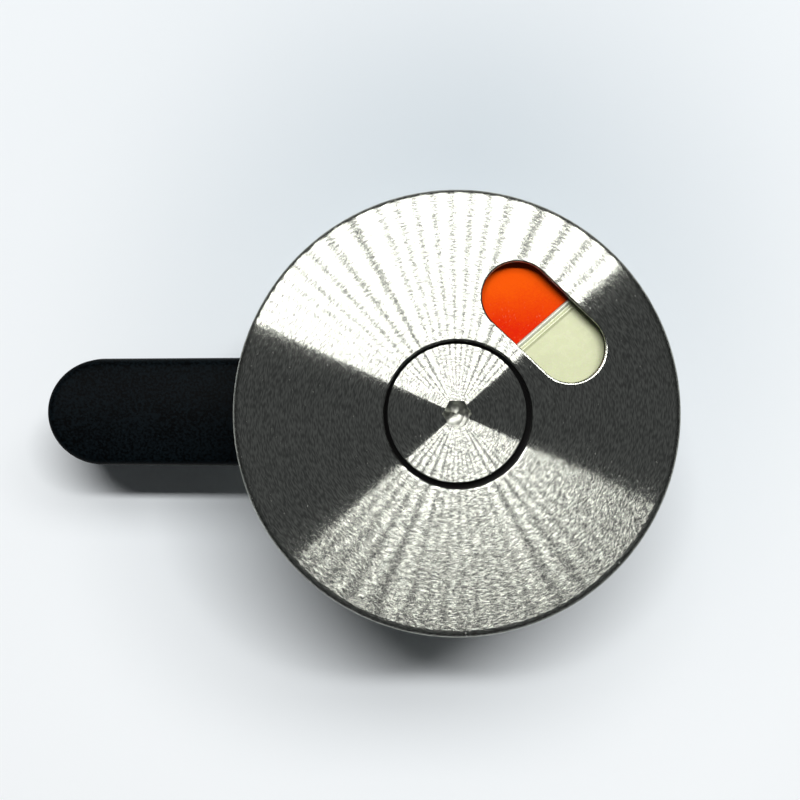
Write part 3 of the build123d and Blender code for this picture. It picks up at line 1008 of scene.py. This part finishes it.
def armContour(inset):
    # half an outline on +Y from the start to the tip, mirrored back and closed straight across the start
    tipX = arm["tipRadius"] - arm["reach"]
    run = -arm["rootReach"] - tipX
    lean = math.asin((arm["rootHalfWidth"] - arm["tipRadius"]) / run)
    radius = arm["tipRadius"] - inset

    def halfWidth(x):
        return (radius + (x - tipX) * math.sin(lean)) / math.cos(lean)

    # the start's corners lie on a circle about the axis, and each round comes closer to it
    startX = -arm["startRadius"]
    for _ in range(arm["startRounds"]):
        startX = -math.sqrt(arm["startRadius"] ** 2 - halfWidth(startX) ** 2)
    half = []
    tangentX = tipX - radius * math.sin(lean)
    for step in range(arm["sideSteps"]):
        x = startX + (tangentX - startX) * step / arm["sideSteps"]
        half.append((x, halfWidth(x)))
    tipSteps = arm["tipSteps"] // 2
    for step in range(tipSteps + 1):
        turn = math.pi / 2 + lean + (math.pi / 2 - lean) * step / tipSteps
        half.append((tipX + radius * math.cos(turn), radius * math.sin(turn)))
    mirrored = [(x, -y) for x, y in reversed(half[:-1])]
    return half + mirrored


def crownDrop(y):
    return arm["crownRadius"] - math.sqrt(arm["crownRadius"] ** 2 - y ** 2)


def armLevels(halfHeight):
    # outlines from the crown's middle down to the seam, with heights over the seam
    bend = arm["edgeRound"]
    capInset = math.tan(arm["draft"]) * halfHeight
    levels = []
    for inset in arm["insets"][::-1]:
        levels.append([(x, y, halfHeight - crownDrop(y)) for x, y in armContour(inset + capInset)])
    for step in range(arm["roundSteps"]):
        turn = math.pi / 2 * (1 - (step + 1) / arm["roundSteps"])
        inset = bend - bend * math.cos(turn)
        drop = bend - bend * math.sin(turn)
        points = armContour(inset + capInset)
        levels.append([(x, y, halfHeight - crownDrop(y) - drop) for x, y in points])
    levels.append([(x, y, arm["seamHalf"]) for x, y in armContour(0.0)])
    levels.append([(x, y, 0.0) for x, y in armContour(arm["seamDepth"])])
    return levels


def closeCap(builder, cap):
    # strips of faces across the innermost outline, between its two mirrored sides
    count = len(cap)
    for index in range(count // 2):
        opposite = count - 1 - index
        corners = [cap[index], cap[index + 1], cap[opposite - 1], cap[opposite]]
        unique = list(dict.fromkeys(corners))
        if len(unique) > 2:
            builder.faces.new(unique)


def buildSleeve():
    builder = bmesh.new()
    middle = (arm["top"] + arm["bottom"]) / 2
    levels = armLevels(arm["top"] - middle)
    halves = []
    for side in (1, -1):
        loops = []
        for level in levels:
            loops.append([builder.verts.new((x * mm, y * mm, (middle + side * z) * mm)) for x, y, z in level])
        joinAll(builder, loops)
        halves.append(loops)
    seams = halves[0][-1] + halves[1][-1]
    bmesh.ops.remove_doubles(builder, verts=seams, dist=arm["weld"])
    for loops in halves:
        closeCap(builder, loops[0])
    finishPiece(
        "mouldedSleeve", builder, sleeveNylon, "turning_set", "black_nylon", "lever_sleeve",
        sharp=arm["sharp"],
    )


buildSleeve()


# Floor

floorLook = {
    "halfSize": 900.0,
    "colour": rgb(0.9, 0.935, 0.965),
    "shade": rgb(0.55, 0.615, 0.67),
    "roughness": 0.6,
    "specular": 0.2,
    # four shares of the paler colour: away from a spot of painted shade, away from the axis past the painted
    # shade round the part, towards -Y as painted light, and patchy
    "paintedShadeSpot": (4.0, 38.0),
    "spotShade": {"from": -15.0, "to": 80.0, "share": 0.54},
    "around": {"from": 30.0, "to": 70.0, "share": 0.24},
    "paintedFrontLight": {"from": 40.0, "to": -60.0, "share": 0.18},
    "patches": {"size": 40.0, "share": 0.06},
}


def floorFinish(name, look):
    material, shader, wire = newFinish(name)
    x, y, z = wire.spot()

    def paler(kind, value):
        return wire.mask(value, look[kind]["from"], look[kind]["to"]) * look[kind]["share"]

    # painted shade in a soft spot behind the part and round its axis, and painted light towards -Y
    aside = x - look["paintedShadeSpot"][0]
    above = y - look["paintedShadeSpot"][1]
    size = look["patches"]["size"]
    patch = wire.noise(wire.vector(x / size, y / size, z), detail=1.0)
    paleness = paler("spotShade", (aside * aside + above * above) ** 0.5)
    paleness = paleness + paler("around", (x * x + y * y) ** 0.5)
    paleness = paleness + paler("paintedFrontLight", y)
    paleness = paleness + patch * look["patches"]["share"]
    setSockets(shader, {
        "Base Color": wire.blend(paleness, look["shade"], look["colour"]),
        "Roughness": look["roughness"],
        "Specular IOR Level": look["specular"],
    })
    return material


def buildFloor():
    # a square sheet, on which the knob's end stands
    builder = bmesh.new()
    half = floorLook["halfSize"]
    corners = ((-half, -half), (half, -half), (half, half), (-half, half))
    builder.faces.new(loopFrom(builder, corners, cadBox[0].z / mm))
    floor = addObject("floor", makeMesh("floor", builder, floorFinish("floorPaper", floorLook)))


# Lamps

lampFan = {
    "height": 1500.0,  # over the rose's face
    "centre": (53.0, -12.5),
    "rows": (  # first and pitch are steps sideways for each step forwards
        {"count": 5, "first": 0.328, "pitch": 0.176},
        {"count": 7, "first": -0.3334, "pitch": 0.0894},
        {"count": 10, "first": -2.1016, "pitch": 0.1828},
    ),
    "spans": ((300.0, 550.0), (550.0, 1000.0)),
    "duty": 0.6,  # the lit share of each pitch
    "power": 28.0,  # watts for each square metre
    "colour": (1.0, 0.99, 0.97),
}

lampStrips = {
    "height": 1500.0,
    "strips": (  # power is in watts
        {"from": -320.0, "to": 500.0, "y": 390.0, "width": 80.0, "power": 19.0},
        {"from": -400.0, "to": 900.0, "y": 680.0, "width": 360.0, "power": 12.0},
    ),
    "colour": (1.0, 0.99, 0.975),
}


def buildLamp(name, look, middle, size, turn, power, lit):
    # a flat lamp that shines straight down, and only on the pieces in the lit collection
    light = bpy.data.lights.new(name, "AREA")
    light.shape = "RECTANGLE"
    light.size = size[0] * mm
    light.size_y = size[1] * mm
    light.energy = power
    light.color = look["colour"]
    lamp = addObject(name, light)
    lamp.location = Vector((middle[0], middle[1], look["height"] + rose["top"])) * mm
    lamp.rotation_euler = (0.0, 0.0, turn)
    lamp.light_linking.receiver_collection = lit


def buildFan(lit):
    # rows of long lamps that spread from the point that the camera sees mirrored in the rose's centre
    centreX, centreY = lampFan["centre"]
    for row, spread in enumerate(lampFan["rows"]):
        for index in range(spread["count"]):
            across = spread["first"] + index * spread["pitch"]
            azimuth = math.atan2(1.0, across)
            # a pitch covers a smaller angle where the row leans far to the side
            opening = spread["pitch"] * math.sin(azimuth) ** 2 * lampFan["duty"]
            for part, (near, far) in enumerate(lampFan["spans"]):
                reach = (near + far) / 2
                middle = (centreX + reach * math.cos(azimuth), centreY + reach * math.sin(azimuth))
                size = (far - near, opening * reach)
                power = lampFan["power"] * size[0] * size[1] * mm * mm
                name = f"lamp{row + 1}-{index + 1}-{part + 1}"
                buildLamp(name, lampFan, middle, size, azimuth, power, lit)


def buildStrips(lit):
    # a narrow near strip and a wide far one
    for index, strip in enumerate(lampStrips["strips"]):
        middle = ((strip["from"] + strip["to"]) / 2, strip["y"])
        size = (strip["to"] - strip["from"], strip["width"])
        buildLamp(f"strip{index + 1}", lampStrips, middle, size, 0.0, strip["power"], lit)


def buildLamps():
    # of the lamps, only the fan lights the turned rose and disc, and only the strips light the rest
    turned = bpy.data.collections.new("turnedSteel")
    plain = bpy.data.collections.new("plainPieces")
    for piece in list(bpy.context.scene.objects):
        if piece.type == "MESH":
            steel = piece.active_material in (roseSteel, discSteel)
            (turned if steel else plain).objects.link(piece)
    buildFan(turned)
    buildStrips(plain)


# World and camera

worldLook = {
    # tones of the room by height, from the horizon to overhead
    "stops": (
        (0.0, rgb(0.01, 0.01, 0.01)),
        (0.55, rgb(0.01, 0.01, 0.01)),
        (0.7, rgb(0.03, 0.031, 0.032)),
        (0.83, rgb(0.07, 0.073, 0.076)),
        (1.0, rgb(0.068, 0.07, 0.073)),
    ),
    "backdrop": rgb(0.84, 0.87, 0.9),
    "backdropTop": 0.12,  # how high the metal's shine sees the backdrop
}


def buildWorld():
    world = bpy.data.worlds.new("room")
    world.use_nodes = True
    bpy.context.scene.world = world
    background = world.node_tree.nodes["Background"]
    wire = Wire(world.node_tree)
    place = wire.node("ShaderNodeTexCoord", None, None, "Generated")
    height = wire.node("ShaderNodeSeparateXYZ", None, {0: place}, "Z")
    colour = wire.node("ShaderNodeValToRGB", {"stops": worldLook["stops"]}, {0: height})
    # the camera sees a pale backdrop, and so does the metal's shine low down
    low = wire.mask(height, worldLook["backdropTop"], 0.0)
    seen = wire.node("ShaderNodeLightPath", None, None, "Is Camera Ray")
    seen = seen + wire.node("ShaderNodeLightPath", None, None, "Is Glossy Ray") * low
    seen = seen + wire.node("ShaderNodeLightPath", None, None, "Is Transmission Ray")
    setSockets(background, {"Color": wire.blend(seen, colour, worldLook["backdrop"]), "Strength": 1.0})


view = {
    "place": (-6.86, 1.63, 200.0),  # from the axis, and over the rose's face
    "lens": 74.76,
    "sensor": 36.0,
    "nearest": 10.0,
}


def buildCamera():
    lens = bpy.data.cameras.new("camera")
    lens.lens = view["lens"]
    lens.sensor_width = view["sensor"]
    lens.clip_start = view["nearest"] * mm
    camera = addObject("camera", lens)
    x, y, height = view["place"]
    camera.location = Vector((x, y, height + rose["top"])) * mm
    bpy.context.scene.camera = camera


buildFloor()
buildLamps()
buildWorld()
buildCamera()
bpy.context.scene.view_settings.view_transform = "Standard"
print("floor, lamps, world and camera set")
